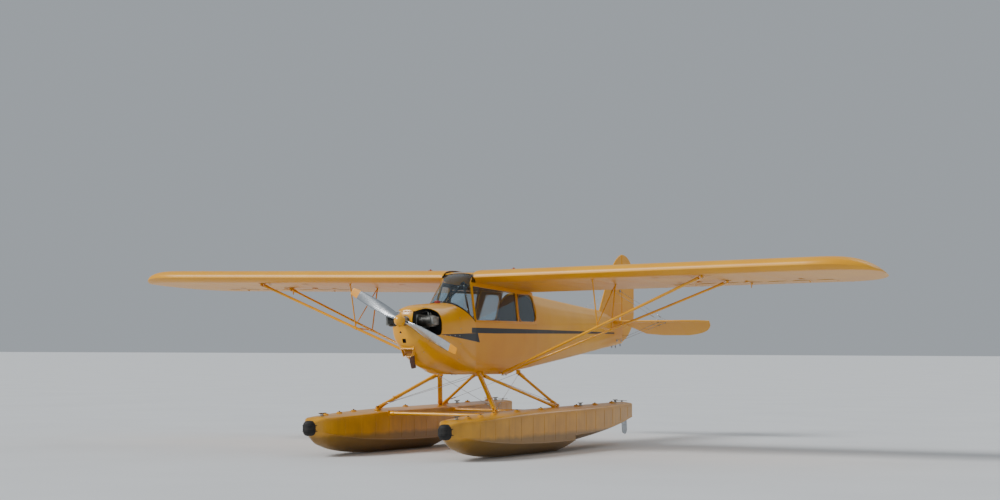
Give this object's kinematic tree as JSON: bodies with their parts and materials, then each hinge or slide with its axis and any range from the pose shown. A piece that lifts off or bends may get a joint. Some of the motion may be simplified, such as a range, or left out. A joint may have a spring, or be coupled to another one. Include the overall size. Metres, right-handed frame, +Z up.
{
  "type": "light floatplane",
  "caption": "High-wing light aircraft on straight floats, with strut-braced fabric wings, turning propeller, hinged control surfaces and a split cabin door.",
  "frame": {"origin": "on the ground under the middle of the length and width, at the height of the float keels", "axes": "+Z up, nose towards -Y, the aeroplane's own port wing towards +X"},
  "size_m": [10.7296, 7.446, 2.752],
  "materials": {
    "doped_fabric": "satin",
    "painted_aluminium": "satin",
    "painted_struts": "gloss",
    "acrylic": "gloss",
    "dark_steel": "satin",
    "canvas": "matte",
    "floor_wood": "matte",
    "engine_castings": "matte",
    "exhaust_steel": "matte",
    "stainless_wire": "satin",
    "polished_aluminium": "polished",
    "bare_aluminium": "satin",
    "rubber": "matte",
    "red_cap": "satin"
  },
  "bodies": {
    "airframe": {"nose_bowl": "painted_aluminium", "engine_cowl": "painted_aluminium", "boot_cowl": "painted_aluminium", "fuel_cap": "red_cap", "side_port": "doped_fabric", "side_starboard": "doped_fabric", "belly": "doped_fabric", "window_front_port": "acrylic", "window_quarter_starboard": "acrylic", "window_rear_port": "acrylic", "window_rear_starboard": "acrylic", "windshield": "acrylic", "cabin_roof": "painted_aluminium", "skylight": "acrylic", "cabin_frame": "dark_steel", "cabin_floor": "floor_wood", "instrument_panel": "dark_steel", "control_sticks": "dark_steel", "seat_base_front": "dark_steel", "seat_cushion_front": "canvas", "seat_back_front": "canvas", "seat_base_rear": "dark_steel", "seat_cushion_rear": "canvas", "seat_back_rear": "canvas", "engine": "engine_castings", "intake_box": "painted_aluminium", "exhaust": "exhaust_steel", "wing_port": "doped_fabric", "wing_starboard": "doped_fabric", "lift_struts_port": "painted_struts", "lift_struts_starboard": "painted_struts", "fin": "doped_fabric", "stabilizer_port": "doped_fabric", "stabilizer_starboard": "doped_fabric", "fuselage_rear": "doped_fabric", "tail_wires_port": "stainless_wire", "tail_wires_starboard": "stainless_wire", "float_port": "painted_aluminium", "float_starboard": "painted_aluminium", "bumper_port": "rubber", "bumper_starboard": "rubber", "float_strut_front_port": "painted_struts", "float_strut_front_starboard": "painted_struts", "float_strut_diagonal_port": "painted_struts", "float_strut_diagonal_starboard": "painted_struts", "float_strut_rear_port": "painted_struts", "float_strut_rear_starboard": "painted_struts", "spreader_front": "painted_struts", "spreader_rear": "painted_struts"},
    "propeller": {"propeller": "polished_aluminium", "spinner": "painted_aluminium"},
    "aileron_port": {"aileron_port": "doped_fabric"},
    "aileron_starboard": {"aileron_starboard": "doped_fabric"},
    "elevators": {"elevators": "doped_fabric"},
    "rudder": {"rudder": "doped_fabric"},
    "water_rudder_port": {"water_rudder_port": "bare_aluminium"},
    "water_rudder_starboard": {"water_rudder_starboard": "bare_aluminium"},
    "door_upper": {"door_upper": "doped_fabric", "door_window": "acrylic"},
    "door_lower": {"door_lower": "doped_fabric"}
  },
  "joints": [
    {"name": "propeller_spin", "type": "hinge", "parent": "airframe", "child": "propeller", "pos_m": [0, -3.035, 1.645], "axis": [0, 1, 0], "continuous": true},
    {"name": "aileron_port_hinge", "type": "hinge", "parent": "airframe", "child": "aileron_port", "pos_m": [3.5, -0.423, 2.1809], "axis": [0.9998, 0, 0.0174], "range_deg": [-18, 18]},
    {"name": "aileron_starboard_hinge", "type": "hinge", "parent": "airframe", "child": "aileron_starboard", "pos_m": [-3.5, -0.423, 2.1809], "axis": [0.9998, 0, -0.0174], "range_deg": [-18, 18]},
    {"name": "elevator_hinge", "type": "hinge", "parent": "airframe", "child": "elevators", "pos_m": [0, 3.221, 1.728], "axis": [1, 0, 0], "range_deg": [0, 61]},
    {"name": "rudder_hinge", "type": "hinge", "parent": "airframe", "child": "rudder", "pos_m": [0, 3.288, 2.1], "axis": [0, 0, 1], "range_deg": [-30, 30]},
    {"name": "water_rudder_port_pivot", "type": "hinge", "parent": "airframe", "child": "water_rudder_port", "pos_m": [0.945, 1.235, 0.45], "axis": [0, 0, 1], "range_deg": [-30, 30]},
    {"name": "water_rudder_starboard_pivot", "type": "hinge", "parent": "airframe", "child": "water_rudder_starboard", "pos_m": [-0.945, 1.235, 0.45], "axis": [0, 0, 1], "range_deg": [-30, 30]},
    {"name": "door_upper_hinge", "type": "hinge", "parent": "airframe", "child": "door_upper", "pos_m": [-0.248, -1.123, 2.066], "axis": [0, 1, 0], "range_deg": [0, 80]},
    {"name": "door_lower_hinge", "type": "hinge", "parent": "airframe", "child": "door_lower", "pos_m": [-0.336, -1.123, 1.188], "axis": [0, -1, 0], "range_deg": [0, 84]}
  ],
  "couplings": [
    {"joint": "aileron_starboard_hinge", "follows": "aileron_port_hinge", "ratio": -1},
    {"joint": "water_rudder_port_pivot", "follows": "rudder_hinge", "ratio": 1},
    {"joint": "water_rudder_starboard_pivot", "follows": "rudder_hinge", "ratio": 1}
  ]
}
